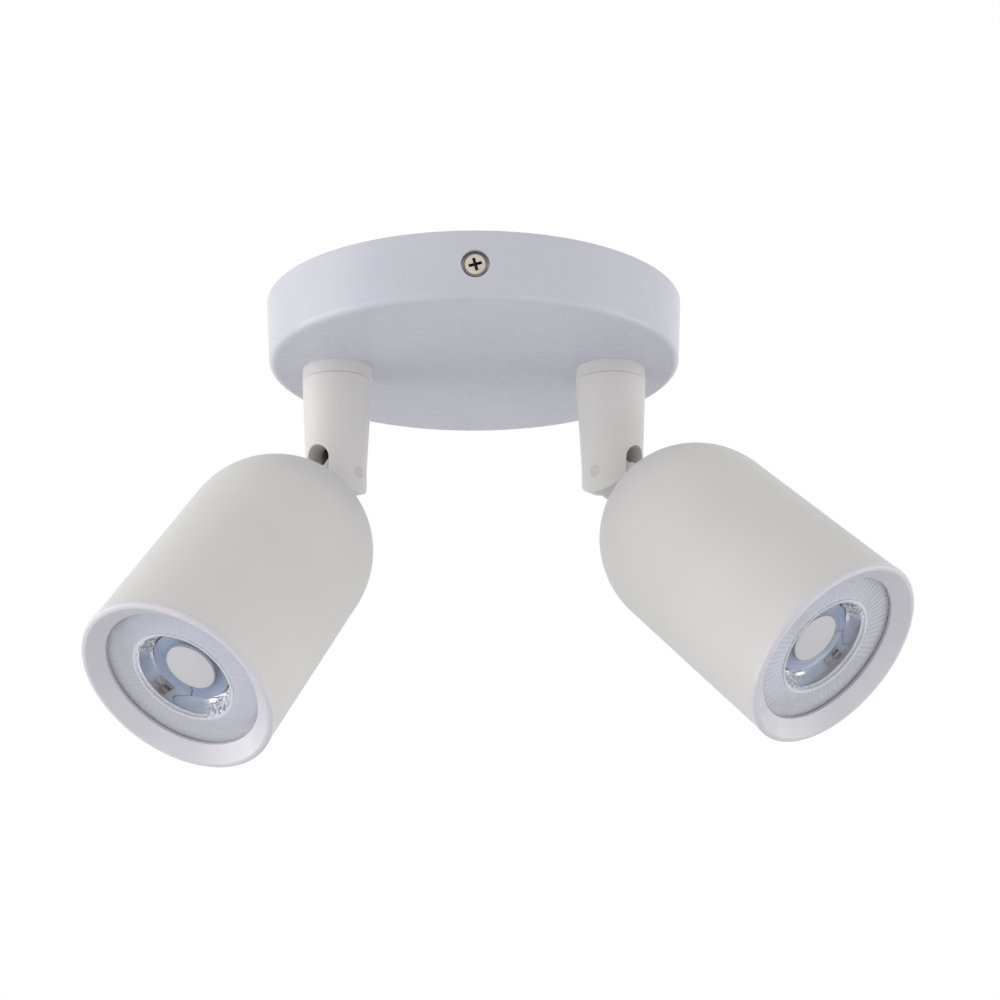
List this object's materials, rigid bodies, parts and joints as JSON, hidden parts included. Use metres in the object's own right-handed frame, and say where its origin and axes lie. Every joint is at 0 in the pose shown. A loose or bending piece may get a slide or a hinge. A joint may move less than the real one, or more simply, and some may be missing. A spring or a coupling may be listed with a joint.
{
  "type": "pivoting spotlight",
  "caption": "Shallow round canopy with short swivel arms; each carries a bullet-shaped lamp head that turns about the arm and tilts on a pin.",
  "frame": {"origin": "centre of the mounting plane, where the strap lies against the ceiling or wall", "axes": "+Z points into the mounting surface, so the arms and heads hang below; +X is to the right and +Y is away from a viewer in front"},
  "size_m": [0.2217, 0.1315, 0.1405],
  "materials": {
    "canopy_paint": "white satin paint, slightly glossy",
    "arm_paint": "warm white satin paint",
    "head_paint": "warm white matte paint",
    "bezel_plastic": "cool white gloss",
    "lamp_white": "white satin",
    "lens_clear": "clear, fine radial ribs",
    "disc_frosted": "frosted, fine dot grid",
    "board_coating": "white solder mask",
    "chip_phosphor": "yellow phosphor",
    "part_body": "dark moulded body with metal ends",
    "holder_ceramic": "unglazed white",
    "zinc_steel": "zinc plated",
    "screw_nickel": "nickel plated",
    "pin_steel": "plain bright",
    "brass": "plain",
    "tinned_copper": "tin plated",
    "terminal_plastic": "natural white",
    "lead_sleeve": "white braided sleeve",
    "brown_insulation": "satin",
    "blue_insulation": "satin",
    "earth_insulation": "green with a yellow stripe",
    "lamp_wire": "dark brown, satin"
  },
  "bodies": {
    "base": {"canopy_cover": "canopy_paint", "mounting_strap": "zinc_steel", "cover_screws": "screw_nickel", "terminal_block": "terminal_plastic", "terminal_tubes": "brass", "terminal_screws": "screw_nickel", "block_screw": "screw_nickel", "earth_screw": "screw_nickel", "earth_lug": "tinned_copper", "earth_wire": "earth_insulation", "brown_wires": "brown_insulation", "blue_wires": "blue_insulation", "swivel_washers": "zinc_steel", "left_canopy_lead": "lead_sleeve", "left_collar": "arm_paint", "right_canopy_lead": "lead_sleeve", "right_collar": "arm_paint"},
    "left_arm": {"left_arm": "arm_paint", "left_swivel_tube": "zinc_steel", "left_swivel_nut": "zinc_steel", "left_pivot_pin": "pin_steel", "left_arm_lead": "lead_sleeve", "left_tilt_wires": "lamp_wire"},
    "left_head": {"left_housing": "head_paint", "left_bezel": "bezel_plastic", "left_lampholder": "holder_ceramic", "left_holder_screws": "screw_nickel", "left_head_wires": "lamp_wire", "left_lamp_shell": "lamp_white", "left_lamp_lens": "lens_clear", "left_lamp_disc": "disc_frosted", "left_lamp_board": "board_coating", "left_lamp_chip": "chip_phosphor", "left_lamp_small_parts": "part_body", "left_lamp_driver": "lamp_white", "left_lamp_cap": "lamp_white", "left_lamp_pins": "pin_steel"},
    "right_arm": {"right_arm": "arm_paint", "right_swivel_tube": "zinc_steel", "right_swivel_nut": "zinc_steel", "right_pivot_pin": "pin_steel", "right_arm_lead": "lead_sleeve", "right_tilt_wires": "lamp_wire"},
    "right_head": {"right_housing": "head_paint", "right_bezel": "bezel_plastic", "right_lampholder": "holder_ceramic", "right_holder_screws": "screw_nickel", "right_head_wires": "lamp_wire", "right_lamp_shell": "lamp_white", "right_lamp_lens": "lens_clear", "right_lamp_disc": "disc_frosted", "right_lamp_board": "board_coating", "right_lamp_chip": "chip_phosphor", "right_lamp_small_parts": "part_body", "right_lamp_driver": "lamp_white", "right_lamp_cap": "lamp_white", "right_lamp_pins": "pin_steel"}
  },
  "joints": [
    {"name": "left_pan", "type": "hinge", "parent": "base", "child": "left_arm", "pos_m": [-0.0395, 0, -0.0515], "axis": [0, 0, 1], "range_deg": [-140.5, 39.5]},
    {"name": "left_tilt", "type": "hinge", "parent": "left_arm", "child": "left_head", "pos_m": [-0.0395, 0, -0.0515], "axis": [-0.7716, 0.6361, 0], "range_deg": [-39.5, 50.5], "deforming": ["left_tilt_wires"]},
    {"name": "right_pan", "type": "hinge", "parent": "base", "child": "right_arm", "pos_m": [0.0395, 0, -0.0515], "axis": [0, 0, 1], "range_deg": [-52, 128]},
    {"name": "right_tilt", "type": "hinge", "parent": "right_arm", "child": "right_head", "pos_m": [0.0395, 0, -0.0515], "axis": [-0.6157, -0.788, 0], "range_deg": [-47.5, 42.5], "deforming": ["right_tilt_wires"]}
  ]
}
